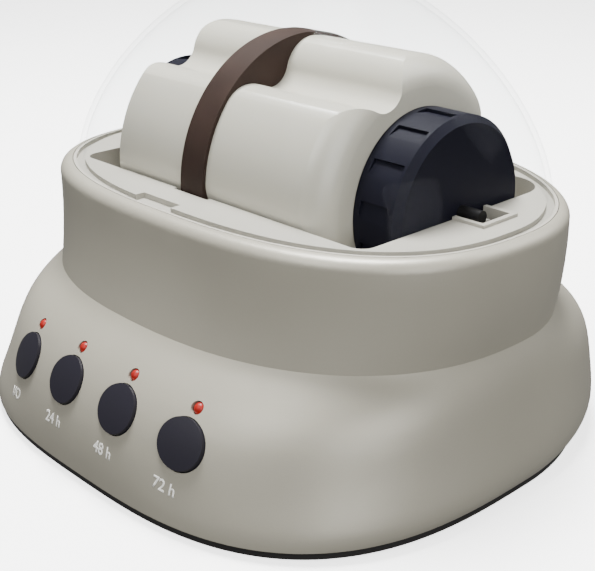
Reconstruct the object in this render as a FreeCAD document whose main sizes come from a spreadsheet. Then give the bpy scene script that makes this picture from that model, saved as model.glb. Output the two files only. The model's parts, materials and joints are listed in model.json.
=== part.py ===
import FreeCAD, Part
import os
import Sketcher
from math import acos, atan2, cos, pi, radians, sin, sqrt, tan

# A table-top stone tumbler: a lobed barrel lies on its side in the cradle of an oval,
# bell-skirted base and is turned by a rubber-tyred roller under its drive ring. A clear
# dome covers it. Millimetres, +Z up, +X along the barrel's axis, the panel faces -Y.

V = FreeCAD.Vector
os.makedirs("parts", exist_ok=True)
doc = FreeCAD.newDocument("tumbler")
sheet = doc.addObject("Spreadsheet::Sheet", "Sizes")

# ---------------------------------------------------------------- driving dimensions

# Outlines of the base, each from its height: half width, front and back depth, and the
# power of the superellipse in front and behind (2 is an ellipse, more is squarer).
OUTLINES = {
    "base": (4.2, 118.4, 119.2, 109.5, 3.0, 2.0),
    "low": (14.5, 120.6, 117.8, 111.7, 2.75, 2.15),
    "mid": (32.0, 117.6, 111.9, 108.3, 2.6, 2.2),
    "upper": (45.3, 115.0, 102.8, 100.0, 2.55, 2.2),
    "shoulder": (51.0, 112.8, 96.6, 91.5, 2.45, 2.15),
    "crease": (56.3, 109.6, 89.7, 80.0, 2.4, 2.1),
    "collar": (75.0, 112.4, 84.4, 80.0, 2.45, 2.1),
    "top": (92.5, 112.5, 81.6, 81.0, 2.6, 2.1),
}
OUTLINE_SIZES = ("height", "half", "front", "back", "front_power", "back_power")

SIZES = {
    "plate_bottom": 1.2,
    "plate_inset": 0.8,
    "plate_skin": 0.6,
    "wall": 3.0,
    "rim_round": 4.5,
    "deck_top": 97.0,
    "deck_thick": 3.3,
    "deck_gap": 0.3,
    "deck_half": 108.0,
    "deck_front": 75.8,
    "deck_back": 76.5,
    "ledge_width": 3.5,
    "ledge_thick": 3.0,
    "seat_lip": 1.2,
    "seat_width": 3.4,
    "seat_depth": 1.8,
    "dome_wall": 2.0,
    "dome_gap": 0.4,
    "dome_lift": 0.1,
    "dome_height": 84.0,
    "dome_power": 1.75,
    "latch_centre": -10.4,
    "latch_length": 22.0,
    "latch_width": 8.0,
    "latch_depth": 2.2,
    "axis_rise": 1.0,
    "barrel_half": 58.5,
    "crest_radius": 53.0,
    "valley_radius": 39.5,
    "valley_scoop": 9.0,
    "crest_blend": 14.0,
    "lobes": 4,
    "valley_angle": 67.0,
    "barrel_wall": 3.0,
    "right_shoulder": 12.5,
    "left_round": 5.0,
    "shoulder_radius": 38.0,
    "blank_margin": 0.6,
    "mouth_radius": 27.0,
    "neck_radius": 30.0,
    "ring_radius": 54.5,
    "ring_left": -14.3,
    "ring_width": 13.2,
    "cap_radius": 35.0,
    "cap_length": 21.0,
    "cap_edge": 2.6,
    "cap_face": 3.5,
    "grip_count": 14,
    "grip_depth": 1.3,
    "grip_ramp": 11.0,
    "grip_start": 3.0,
    "grip_length": 14.0,
    "thread_gap": 0.3,
    "seal_thick": 1.6,
    "pin_radius": 2.6,
    "pin_reach": 9.5,
    "pin_depth": 2.5,
    "pocket_end_gap": 1.5,
    "pocket_side_gap": 0.7,
    "ring_side_gap": 0.8,
    "ring_step_margin": 3.5,
    "pocket_front_round": 6.0,
    "pocket_back_round": 15.0,
    "pocket_depth": 11.0,
    "cradle_gap": 4.0,
    "cradle_wall": 2.0,
    "cap_cradle_gap": 3.0,
    "slot_near": 5.0,
    "slot_far": 11.0,
    "slot_length": 12.0,
    "slot_depth": 11.0,
    "slot_bead": 1.2,
    "slot_lip": 2.0,
    "bearing_width": 7.0,
    "bearing_inset": 1.0,
    "bearing_gap": 0.3,
    "bearing_drop": 0.6,
    "running_gap": 0.06,
    "roller_angle": 30.0,
    "roller_radius": 9.0,
    "roller_core": 6.0,
    "roller_gap": 0.3,
    "roller_margin": 1.0,
    "shaft_radius": 2.5,
    "shaft_stub": 1.5,
    "bush_radius": 4.5,
    "bush_flange": 1.0,
    "bracket_wall": 3.0,
    "bracket_half": 14.0,
    "bracket_foot": 2.0,
    "bracket_left": -22.0,
    "bracket_middle": 7.0,
    "bracket_right": 23.0,
    "bracket_screw_left": -13.0,
    "bracket_screw_right": 1.5,
    "bracket_screw_side": 10.0,
    "motor_screw_side": 9.5,
    "motor_screw_grip": 5.0,
    "window_gap": 3.5,
    "gear_module": 1.0,
    "gear_teeth": 16,
    "pinion_teeth": 12,
    "gear_width": 7.0,
    "gear_left": 12.5,
    "output_radius": 2.0,
    "output_stub": 0.5,
    "output_grip": 6.0,
    "gearbox_radius": 15.0,
    "gearbox_length": 20.0,
    "gearbox_boss": 5.0,
    "motor_radius": 13.5,
    "motor_length": 30.0,
    "motor_boss": 2.0,
    "panel_tilt": 34.0,
    "panel_height": 32.1,
    "button_pitch": 32.4,
    "button_rise": 3.5,
    "button_big": 9.2,
    "button_small": 7.3,
    "button_offset": 2.1,
    "button_proud": 1.5,
    "button_gap": 0.35,
    "button_flange": 1.4,
    "button_depth": 6.0,
    "flange_gap": 0.4,
    "button_travel": 1.2,
    "hole_reach": 12.0,
    "stem_radius": 2.0,
    "led_rise": 16.0,
    "led_radius": 2.4,
    "led_gap": 0.1,
    "led_proud": 0.5,
    "led_length": 6.5,
    "leg_radius": 0.3,
    "leg_pitch": 2.54,
    "leg_stub": 0.8,
    "board_depth": 19.0,
    "board_half": 62.0,
    "board_low": 8.0,
    "board_high": 23.0,
    "board_thick": 1.6,
    "switch_size": 6.0,
    "switch_height": 3.6,
    "plunger_radius": 1.7,
    "switch_floor": 0.4,
    "switch_clear": 0.3,
    "post_radius": 3.0,
    "post_rise": 8.0,
    "boss_radius": 5.0,
    "boss_height": 30.0,
    "boss_front": 60.0,
    "boss_back": 55.0,
    "boss_front_side": 103.0,
    "boss_back_side": 95.5,
    "screw_radius": 1.5,
    "screw_gap": 0.1,
    "head_radius": 3.0,
    "head_height": 1.6,
    "screw_length": 12.0,
    "screw_end": 2.0,
    "screw_sink": 0.2,
    "small_screw": 1.1,
    "small_head": 2.4,
    "small_head_height": 1.4,
    "small_screw_length": 6.0,
    "recess_length": 3.2,
    "recess_width": 0.8,
    "recess_depth": 0.9,
    "deck_screw_side": 40.0,
    "deck_screw_front": 64.5,
    "deck_screw_back": 62.6,
    "deck_boss_radius": 3.6,
    "deck_boss_height": 6.2,
    "tab_length": 20.0,
    "foot_radius": 8.0,
    "foot_height": 2.2,
    "foot_side": 84.0,
    "foot_front": 72.0,
    "foot_back": 66.0,
    "vent_count": 6,
    "vent_pitch": 7.0,
    "vent_length": 26.0,
    "vent_width": 2.6,
    "inlet_side": 60.0,
    "inlet_height": 24.0,
    "inlet_flange": 6.0,
    "inlet_body": 4.0,
    "inlet_hole": 2.8,
    "inlet_pin": 1.0,
    "inlet_depth": 9.5,
    "inlet_length": 14.0,
    "inlet_spot": 7.5,
    "inlet_sink": 1.4,
    "inlet_lip": 1.2,
    "inlet_gap": 0.1,
    "nut_width": 11.0,
    "nut_thick": 2.0,
    "nut_gap": 2.6,
}
for section, numbers in OUTLINES.items():
    for size, number in zip(OUTLINE_SIZES, numbers):
        SIZES[section + "_" + size] = number

# The origin is the middle of the base's widest outlines, so the deck's centre lies behind it.
SIZES["centre_y"] = (
    max(SIZES[name + "_front"] for name in OUTLINES) - max(SIZES[name + "_back"] for name in OUTLINES)
) / 2

for row, (alias, number) in enumerate(SIZES.items(), start=1):
    sheet.set("A%d" % row, alias)
    sheet.set("B%d" % row, "%.6g" % number)
    sheet.setAlias("B%d" % row, alias)
doc.recompute()


class Size:
    """Reads the sheet's cells by name."""

    def __getattr__(self, alias):
        return getattr(sheet, alias)


s = Size()
CY = s.centre_y
AXIS = s.deck_top + s.axis_rise
NODES = []

# ---------------------------------------------------------------- ways of making a piece


def bind(thing, **formulas):
    """Ties a property of an object to the sheet; double underscores stand for dots."""
    for name, formula in formulas.items():
        thing.setExpression(name.replace("__", "."), str(formula))
    return thing


def named(thing, label):
    """Gives a finished sub-part its name and enters it in the list of nodes."""
    thing.Label = label
    NODES.append(thing)
    return thing


def shown(label, shape):
    """A sub-part or tool whose shape is worked out from curves."""
    thing = doc.addObject("Part::Feature", label)
    thing.Shape = shape
    return thing


def block(name, x, y, z):
    """A box between two bound limits on each axis."""
    thing = doc.addObject("Part::Box", name)
    lows = {"x": x[0], "y": y[0], "z": z[0]}
    spans = {"Length": x, "Width": y, "Height": z}
    for axis, low in lows.items():
        thing.setExpression("Placement.Base." + axis, str(low))
    for side, (low, high) in spans.items():
        thing.setExpression(side, "(%s) - (%s)" % (high, low))
    return thing


def rod(name, axis, radius, start, stop, across):
    """A cylinder along X, Y or Z between two bound limits; across is its place on the others."""
    thing = doc.addObject("Part::Cylinder", name)
    turn = {"X": FreeCAD.Rotation(V(0, 1, 0), 90), "Y": FreeCAD.Rotation(V(1, 0, 0), -90)}
    thing.Placement.Rotation = turn.get(axis, FreeCAD.Rotation())
    others = [letter for letter in "XYZ" if letter != axis]
    thing.setExpression("Placement.Base." + axis.lower(), str(start))
    for letter, place in zip(others, across):
        thing.setExpression("Placement.Base." + letter.lower(), str(place))
    thing.setExpression("Radius", str(radius))
    thing.setExpression("Height", "(%s) - (%s)" % (stop, start))
    return thing


def fuse(name, pieces):
    thing = doc.addObject("Part::MultiFuse", name)
    thing.Shapes = pieces
    return thing


def group(name, pieces):
    """Separate solids that share one node."""
    thing = doc.addObject("Part::Compound", name)
    thing.Links = pieces
    return thing


def cut(name, base, tools):
    thing = doc.addObject("Part::Cut", name)
    thing.Base = base
    thing.Tool = tools[0] if len(tools) == 1 else fuse(name + "_tools", tools)
    return thing


def common(name, first, second):
    thing = doc.addObject("Part::MultiCommon", name)
    thing.Shapes = [first, second]
    return thing


def turned(name, profile, centre):
    """A body revolved about an axis along X from (along, radius) corners, all bound."""
    body = doc.addObject("PartDesign::Body", name)
    plane = [f for f in body.Origin.OriginFeatures if f.Role == "XY_Plane"][0]
    sketch = body.newObject("Sketcher::SketchObject", name + "_profile")
    sketch.AttachmentSupport = (plane, [""])
    sketch.MapMode = "FlatFace"
    corners = [V(value(x), value(r), 0) for x, r in profile]
    for index, corner in enumerate(corners):
        sketch.addGeometry(Part.LineSegment(corner, corners[(index + 1) % len(corners)]), False)
    for index in range(len(corners)):
        follower = (index + 1) % len(corners)
        sketch.addConstraint(Sketcher.Constraint("Coincident", index, 2, follower, 1))
    for index, (x, r) in enumerate(profile):
        for kind, formula in (("DistanceX", x), ("DistanceY", r)):
            rule = Sketcher.Constraint(kind, -1, 1, index, 1, value(formula))
            number = sketch.addConstraint(rule)
            sketch.setExpression("Constraints[%d]" % number, str(formula))
    spin = body.newObject("PartDesign::Revolution", name + "_turn")
    spin.Profile = sketch
    spin.ReferenceAxis = (sketch, ["H_Axis"])
    spin.Angle = 360
    body.Tip = spin
    for axis, place in zip("yz", centre):
        body.setExpression("Placement.Base." + axis, str(place))
    return body


def value(formula):
    """Works out a bound formula's number now, for the first draft of a sketch."""
    return sheet.evalExpression(str(formula))


# ---------------------------------------------------------------- outlines and lofts

OUTLINE_POINTS = 56
PAST = 1.0  # how far a cutting tool runs past the skin that it cuts
FAR = 200.0  # further out than any piece


def oval(half, front, back, front_power, back_power, z):
    """A closed superellipse whose front and back halves differ."""
    points = []
    for step in range(OUTLINE_POINTS):
        angle = 2 * pi * step / OUTLINE_POINTS
        depth, power = (back, back_power) if sin(angle) > 0 else (front, front_power)
        reach = (abs(cos(angle) / half) ** power + abs(sin(angle) / depth) ** power) ** (-1 / power)
        points.append(V(reach * cos(angle), CY + reach * sin(angle), z))
    curve = Part.BSplineCurve()
    curve.interpolate(points, PeriodicFlag=True)
    return Part.Wire(curve.toShape())


def section(name, inset=0.0, z=None):
    """One outline of the base, moved in by a wall and, if asked, to another height."""
    half, front, back, front_power, back_power = [
        getattr(s, name + "_" + size) for size in OUTLINE_SIZES[1:]
    ]
    height = getattr(s, name + "_height") if z is None else z
    return oval(half - inset, front - inset, back - inset, front_power, back_power, height)


def slab(wire, thickness):
    return Part.Face(wire).extrude(V(0, 0, thickness))


def bell(inset, low, high):
    """The base's outer form, moved in by inset, from the height low to the height high."""
    skirt_names = ["base", "low", "mid", "upper", "shoulder", "crease"]
    skirt = Part.makeLoft([section(name, inset) for name in skirt_names], True)
    collar = Part.makeLoft([section(name, inset) for name in ("crease", "collar", "top")], True)
    parts = [collar]
    if low < s.base_height:
        parts.append(slab(section("base", inset, low), s.base_height - low))
    if high > s.top_height:
        parts.append(slab(section("top", inset), high - s.top_height))
    return skirt.fuse(parts)


def rounded_rim():
    """The collar's top edge: a quarter round from the wall to the flat rim."""
    steps = 5
    rings = []
    for step in range(steps + 1):
        angle = pi / 2 * step / steps
        drop = s.rim_round * (1 - cos(angle))
        rings.append(section("top", drop, s.top_height + s.rim_round * sin(angle)))
    return Part.makeLoft(rings, True)


def below(z):
    return Part.makeBox(2 * FAR, 2 * FAR, z, V(-FAR, -FAR, 0))


def deck_outline(inset, z):
    return oval(s.deck_half - inset, s.deck_front - inset, s.deck_back - inset,
                s.top_front_power, s.top_back_power, z)


LEDGE_TOP = s.deck_top - s.deck_thick
LEDGE_BOTTOM = LEDGE_TOP - s.ledge_thick
solid_base = bell(0.0, s.base_height - PAST, s.top_height).fuse(rounded_rim())
keep_inside = bell(s.wall / 2, s.base_height, LEDGE_TOP)

# ---------------------------------------------------------------- the panel's frame

TILT = radians(s.panel_tilt)
OUTWARD = V(0, -cos(TILT), sin(TILT))
UPWARD = V(0, sin(TILT), cos(TILT))
PANEL = V(0, CY - s.mid_front, s.panel_height)
PANEL_TURN = FreeCAD.Rotation(V(1, 0, 0), UPWARD, OUTWARD, "ZXY")
COLUMNS = [s.button_pitch * (column - 1.5) for column in range(4)]
COLUMN_NAMES = ["power", "one", "two", "three"]


def on_panel(across, up, out):
    return PANEL + V(across, 0, 0) + UPWARD * up + OUTWARD * out


def panel_rod(radius, across, up, start, stop):
    return Part.makeCylinder(radius, stop - start, on_panel(across, up, start), OUTWARD)


def egg(across, grow, start, stop):
    """An egg-shaped prism square to the panel, its narrow end up."""
    big = s.button_big + grow
    small = s.button_small + grow
    gap = s.button_offset
    side = acos((big - small) / gap)

    def rim(centre, radius, angle):
        up = s.button_rise + centre - gap / 2 + radius * cos(angle)
        return on_panel(across + radius * sin(angle), up, start)

    edges = [
        Part.Arc(rim(0, big, side), rim(0, big, pi), rim(0, big, -side)),
        Part.LineSegment(rim(0, big, -side), rim(gap, small, -side)),
        Part.Arc(rim(gap, small, -side), rim(gap, small, 0), rim(gap, small, side)),
        Part.LineSegment(rim(gap, small, side), rim(0, big, side)),
    ]
    outline = Part.Wire([edge.toShape() for edge in edges])
    return Part.Face(outline).extrude(OUTWARD * (stop - start))


def skin_depth(across, up):
    """How far out the base's surface lies at a place on the panel."""
    inner = on_panel(across, up, -2 * s.board_depth)
    outer = on_panel(across, up, s.board_depth)
    probe = Part.LineSegment(inner, outer).toShape()
    inside = solid_base.common(probe)
    return max((vertex.Point - PANEL).dot(OUTWARD) for vertex in inside.Vertexes)


# ---------------------------------------------------------------- the pocket in the deck

CAP_OUT = s.barrel_half + s.cap_length
POCKET_HALF = CAP_OUT + s.pocket_end_gap
POCKET_SIDE = s.crest_radius + s.pocket_side_gap


def pocket(grow, z, thickness):
    """The deck's rectangular opening, its back corners rounder than its front ones."""
    half = POCKET_HALF + grow
    side = POCKET_SIDE + grow
    near = s.pocket_front_round + grow
    far = s.pocket_back_round + grow
    corners = [(-half, -side, near), (half, -side, near), (half, side, far), (-half, side, far)]
    edges = []
    ends = []
    for x, y, radius in corners:
        sx = 1 if x > 0 else -1
        sy = 1 if y > 0 else -1
        centre = V(x - sx * radius, CY + y - sy * radius, z)
        on_side = centre + V(sx * radius, 0, 0)
        on_end = centre + V(0, sy * radius, 0)
        middle = centre + V(sx * radius, sy * radius, 0) * sqrt(0.5)
        first, last = (on_side, on_end) if sx * sy > 0 else (on_end, on_side)
        edges.append(Part.Arc(first, middle, last).toShape())
        ends.append((first, last))
    for index in range(4):
        edges.append(Part.LineSegment(ends[index][1], ends[(index + 1) % 4][0]).toShape())
    wire = Part.Wire(Part.__sortEdges__(edges))
    return Part.Face(wire).extrude(V(0, 0, thickness))


# ---------------------------------------------------------------- upper housing

hollow = Part.makeLoft(
    [section(name, s.wall) for name in ("base", "low", "mid", "upper", "shoulder", "crease")], True
)
hollow = hollow.fuse([
    Part.makeLoft([section(name, s.wall) for name in ("crease", "collar", "top")], True)
    .common(below(LEDGE_BOTTOM)),
    slab(section("base", s.wall, s.base_height - PAST), PAST),
    slab(deck_outline(s.ledge_width, LEDGE_BOTTOM - PAST), s.ledge_thick + 2 * PAST),
    slab(deck_outline(-s.deck_gap, LEDGE_TOP), s.deck_thick + PAST),
])
housing = solid_base.cut([hollow, below(s.base_height)])

POST_COLUMNS = (-s.button_pitch, 0, s.button_pitch)
posts = [panel_rod(s.post_radius, across, s.post_rise, -s.board_depth, s.wall) for across in POST_COLUMNS]
boss_places = [(side * s.boss_front_side, CY - s.boss_front) for side in (-1, 1)]
boss_places += [(side * s.boss_back_side, CY + s.boss_back) for side in (-1, 1)]
bosses = [Part.makeCylinder(s.boss_radius, s.boss_height, V(x, y, s.base_height)) for x, y in boss_places]
TAB_TOP = LEDGE_TOP - s.deck_boss_height
deck_screw_places = [(side * s.deck_screw_side, CY - s.deck_screw_front) for side in (-1, 1)]
deck_screw_places += [(side * s.deck_screw_side, CY + s.deck_screw_back) for side in (-1, 1)]
tabs = []
for x, y in deck_screw_places:
    outward = -1 if y < CY else 1
    start = y - outward * s.deck_boss_radius
    low = min(start, start + outward * s.tab_length)
    tabs.append(Part.makeBox(2 * s.deck_boss_radius, s.tab_length, s.ledge_thick,
                             V(x - s.deck_boss_radius, low, TAB_TOP - s.ledge_thick)))
ledge_notch = pocket(s.cradle_wall + s.deck_gap, LEDGE_BOTTOM - 1, s.ledge_thick + 2)
inside_work = [work.common(keep_inside) for work in posts + bosses + tabs]
housing = housing.fuse(inside_work)

openings = [ledge_notch]
for across in COLUMNS:
    openings.append(egg(across, s.button_gap, -s.hole_reach, s.hole_reach))
    openings.append(panel_rod(s.led_radius + s.led_gap, across, s.led_rise, -s.hole_reach, s.hole_reach))
for x, y in boss_places:
    openings.append(Part.makeCylinder(s.screw_radius + s.screw_gap, s.screw_length, V(x, y, s.base_height)))
for x, y in deck_screw_places:
    openings.append(Part.makeCylinder(s.screw_radius + s.screw_gap, s.ledge_thick,
                                      V(x, y, TAB_TOP - s.ledge_thick)))
for across in POST_COLUMNS:
    openings.append(panel_rod(s.small_screw + s.screw_gap, across, s.post_rise,
                              -s.board_depth, -s.board_depth + s.small_screw_length))
probe = Part.LineSegment(V(s.inlet_side, CY, s.inlet_height), V(s.inlet_side, FAR, s.inlet_height)).toShape()
INLET_FACE = max(v.Point.y for v in solid_base.common(probe).Vertexes) - s.inlet_sink
inlet_seat = V(s.inlet_side, INLET_FACE, s.inlet_height)
openings.append(Part.makeCylinder(s.inlet_spot, s.inlet_length, inlet_seat, V(0, 1, 0)))
openings.append(Part.makeCylinder(s.inlet_body + s.inlet_gap, s.inlet_length, inlet_seat, V(0, -1, 0)))
named(shown("upper_housing", housing.cut(openings)), "upper_housing")

# ---------------------------------------------------------------- deck with its cradle

def along_axis(radius, start, stop):
    return Part.makeCylinder(radius, stop - start, V(start, CY, AXIS), V(1, 0, 0))


WELL = s.crest_radius + s.cradle_gap
WELL_HALF = s.barrel_half + 2
CAP_WELL = s.cap_radius + s.cap_cradle_gap
POCKET_FLOOR = s.deck_top - s.pocket_depth
deck = slab(deck_outline(0, LEDGE_TOP), s.deck_thick)
cradle = pocket(s.cradle_wall, POCKET_FLOOR - s.cradle_wall, LEDGE_TOP - POCKET_FLOOR + s.cradle_wall)
troughs = along_axis(WELL + s.cradle_wall, -WELL_HALF - s.cradle_wall, WELL_HALF + s.cradle_wall).fuse(
    along_axis(CAP_WELL + s.cradle_wall, -POCKET_HALF - s.cradle_wall, POCKET_HALF + s.cradle_wall))
cradle = cradle.fuse(troughs.common(below(LEDGE_TOP)))
wells = along_axis(WELL, -WELL_HALF, WELL_HALF).fuse(along_axis(CAP_WELL, -POCKET_HALF, POCKET_HALF))
wells = wells.common(below(LEDGE_TOP))
shelf_room = pocket(0, POCKET_FLOOR, s.pocket_depth + PAST)
RING_MIDDLE = s.ring_left + s.ring_width / 2
STEP_HALF = s.ring_width / 2 + s.ring_step_margin
STEP_SIDE = s.ring_radius + s.ring_side_gap
ring_step = Part.makeBox(2 * STEP_HALF, 2 * STEP_SIDE, 30,
                         V(RING_MIDDLE - STEP_HALF, CY - STEP_SIDE, LEDGE_TOP - 12))
deck = deck.fuse([cradle])

slot_walls = []
slot_rooms = []
SLOT_FLOOR = s.deck_top - s.slot_depth
for side in (-1, 1):
    mouth = POCKET_HALF - 1
    end = POCKET_HALF + s.slot_length
    near = -s.slot_near
    far = s.slot_far
    low_x = min(side * mouth, side * end)
    room = Part.makeBox(end - mouth, far - near, 40, V(low_x, CY + near, SLOT_FLOOR))
    slot_rooms.append(room)
    grow = s.cradle_wall
    low_x = min(side * POCKET_HALF, side * (end + grow))
    slot_walls.append(Part.makeBox(end + grow - POCKET_HALF, far - near + 2 * grow,
                                   LEDGE_TOP - SLOT_FLOOR + grow,
                                   V(low_x, CY + near - grow, SLOT_FLOOR - grow)))
    lip = s.slot_lip
    low_x = min(side * POCKET_HALF, side * (end + lip))
    slot_walls.append(Part.makeBox(end + lip - POCKET_HALF, far - near + 2 * lip, s.slot_bead,
                                   V(low_x, CY + near - lip, s.deck_top)))
deck = deck.fuse(slot_walls)

SEAT_FLOOR = s.deck_top - s.seat_depth
seat = slab(deck_outline(s.seat_lip, SEAT_FLOOR), s.seat_depth + PAST)
seat = seat.cut(slab(deck_outline(s.seat_lip + s.seat_width, SEAT_FLOOR), s.seat_depth + PAST))
LATCH_FRONT = CY - s.deck_front + s.seat_lip
latch = Part.makeBox(s.latch_length, s.latch_width, s.latch_depth + PAST,
                     V(s.latch_centre - s.latch_length / 2, LATCH_FRONT, s.deck_top - s.latch_depth))
for x, y in deck_screw_places:
    boss = Part.makeCylinder(s.deck_boss_radius, s.deck_boss_height + PAST, V(x, y, TAB_TOP))
    deck = deck.fuse(boss)

# The roller and its gear reach the ring through a window in the trough.
REACH = s.ring_radius + s.roller_radius + s.roller_gap
ROLLER = V(0, CY + REACH * sin(radians(s.roller_angle)), AXIS - REACH * cos(radians(s.roller_angle)))
GEAR_REACH = s.gear_module * (s.gear_teeth + s.pinion_teeth) / 2
OUTPUT = V(0, ROLLER.y, ROLLER.z - GEAR_REACH)
WINDOW_LEFT = s.bracket_left - s.window_gap
WINDOW_RIGHT = s.bracket_right + s.bracket_wall + s.window_gap
WINDOW_HALF = s.bracket_half + s.window_gap
window = Part.makeBox(WINDOW_RIGHT - WINDOW_LEFT, 2 * WINDOW_HALF, LEDGE_BOTTOM - s.ring_radius / 2,
                      V(WINDOW_LEFT, ROLLER.y - WINDOW_HALF, 0))
pilot_length = s.deck_boss_height - s.screw_end / 2
deck_pilot = [Part.makeCylinder(s.screw_radius + s.screw_gap, pilot_length, V(x, y, TAB_TOP))
              for x, y in deck_screw_places]
deck = deck.cut([wells, shelf_room, ring_step, seat, latch, window] + slot_rooms + deck_pilot)
named(shown("deck_cradle", deck.removeSplitter()), "deck_cradle")

# ---------------------------------------------------------------- bearings for the barrel's pins

bearings = []
for side, word in ((-1, "left"), (1, "right")):
    start = "(Sizes.barrel_half + Sizes.cap_length + Sizes.pocket_end_gap + Sizes.bearing_inset)"
    stop = start + " + Sizes.bearing_width"
    limits = (start, stop) if side > 0 else ("-(%s)" % stop, "-(%s)" % start)
    pin_bore = "Sizes.pin_radius + Sizes.running_gap"
    axis_z = "Sizes.deck_top + Sizes.axis_rise"
    half = "(Sizes.slot_near - Sizes.bearing_gap)"
    holder = block("bearing_block_" + word, limits,
                   ("Sizes.centre_y - " + half, "Sizes.centre_y + " + half),
                   ("Sizes.deck_top - Sizes.slot_depth", "Sizes.deck_top - Sizes.bearing_drop"))
    bore = rod("bearing_bore_" + word, "X", pin_bore, limits[0], limits[1], ("Sizes.centre_y", axis_z))
    bearings.append(cut("bearing_" + word, holder, [bore]))
named(group("pin_bearings", bearings), "pin_bearings")

# ---------------------------------------------------------------- barrel


def lobed(inset, start, stop):
    """A prism along the axis: crest arcs, soft shoulders and scooped valleys, all tangent."""
    crest = s.crest_radius - inset
    blend = s.crest_blend - inset
    scoop = s.valley_scoop + inset
    valley_out = s.valley_radius + s.valley_scoop
    blend_out = s.crest_radius - s.crest_blend
    turn = acos((blend_out ** 2 + valley_out ** 2 - (blend + scoop) ** 2) / (2 * blend_out * valley_out))
    pitch = 2 * pi / s.lobes

    def polar(radius, angle):
        return V(start, CY - radius * cos(angle), AXIS + radius * sin(angle))

    edges = []
    for lobe in range(int(s.lobes)):
        valley = radians(s.valley_angle) + lobe * pitch
        hub = polar(valley_out, valley)
        low_hub = polar(blend_out, valley - turn)
        high_hub = polar(blend_out, valley + turn)
        low_touch = low_hub + (hub - low_hub) * (blend / (blend + scoop))
        high_touch = high_hub + (hub - high_hub) * (blend / (blend + scoop))
        low_crest = polar(crest, valley - turn)
        high_crest = polar(crest, valley + turn)
        edges.append(Part.Arc(low_crest, round_middle(low_hub, blend, low_crest, low_touch), low_touch))
        edges.append(Part.Arc(low_touch, polar(valley_out - scoop, valley), high_touch))
        edges.append(Part.Arc(high_touch, round_middle(high_hub, blend, high_touch, high_crest), high_crest))
        next_crest = polar(crest, valley + pitch - turn)
        edges.append(Part.Arc(high_crest, polar(crest, valley + pitch / 2), next_crest))
    wire = Part.Wire([edge.toShape() for edge in edges])
    return Part.Face(wire).extrude(V(stop - start, 0, 0))


def round_middle(hub, radius, first, last):
    """The middle of the short arc round hub from one point to another."""
    way = (first - hub) + (last - hub)
    return hub + way.normalize() * radius


def barrel_blank(inset):
    """The turned envelope, just clear of the crests: a soft shoulder at the right end only."""
    crest = s.crest_radius - inset + s.blank_margin
    end = s.barrel_half - inset
    land = s.shoulder_radius - inset
    left = -s.barrel_half + s.left_round
    left_land = crest - s.left_round + inset
    right = s.barrel_half - s.right_shoulder
    start = V(-end, 0, 0)
    points = [V(-end, left_land, 0), V(left, crest, 0), V(right, crest, 0), V(end, land, 0), V(end, 0, 0)]
    bulge = 0.72
    left_middle = V(-end + (left + end) * (1 - bulge), left_land + (crest - left_land) * bulge, 0)
    right_middle = V(end - (end - right) * (1 - bulge), land + (crest - land) * bulge, 0)
    edges = [
        Part.LineSegment(start, points[0]),
        Part.Arc(points[0], left_middle, points[1]),
        Part.LineSegment(points[1], points[2]),
        Part.Arc(points[2], right_middle, points[3]),
        Part.LineSegment(points[3], points[4]),
        Part.LineSegment(points[4], start),
    ]
    face = Part.Face(Part.Wire([edge.toShape() for edge in edges]))
    blank = face.revolve(V(0, 0, 0), V(1, 0, 0), 360)
    blank.translate(V(0, CY, AXIS))
    return blank


outer_form = barrel_blank(0).common(lobed(0, -s.barrel_half, s.barrel_half))
inner_form = barrel_blank(s.barrel_wall).common(lobed(s.barrel_wall, -s.barrel_half, s.barrel_half))
NECK_END = s.barrel_half + s.cap_length - s.cap_face - s.seal_thick
NECK_ROOT = s.barrel_half - s.barrel_wall / 2
necks = [along_axis(s.neck_radius, NECK_ROOT, NECK_END), along_axis(s.neck_radius, -NECK_END, -NECK_ROOT)]
mouths = along_axis(s.mouth_radius, -NECK_END, NECK_END)
drum = outer_form.fuse(necks).cut(inner_form.fuse(mouths))
named(shown("barrel_drum", drum), "barrel_drum")

ring = along_axis(s.ring_radius, s.ring_left, s.ring_left + s.ring_width).cut(outer_form)
named(shown("drive_ring", ring), "drive_ring")

# ---------------------------------------------------------------- caps, seals and pins

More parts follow.
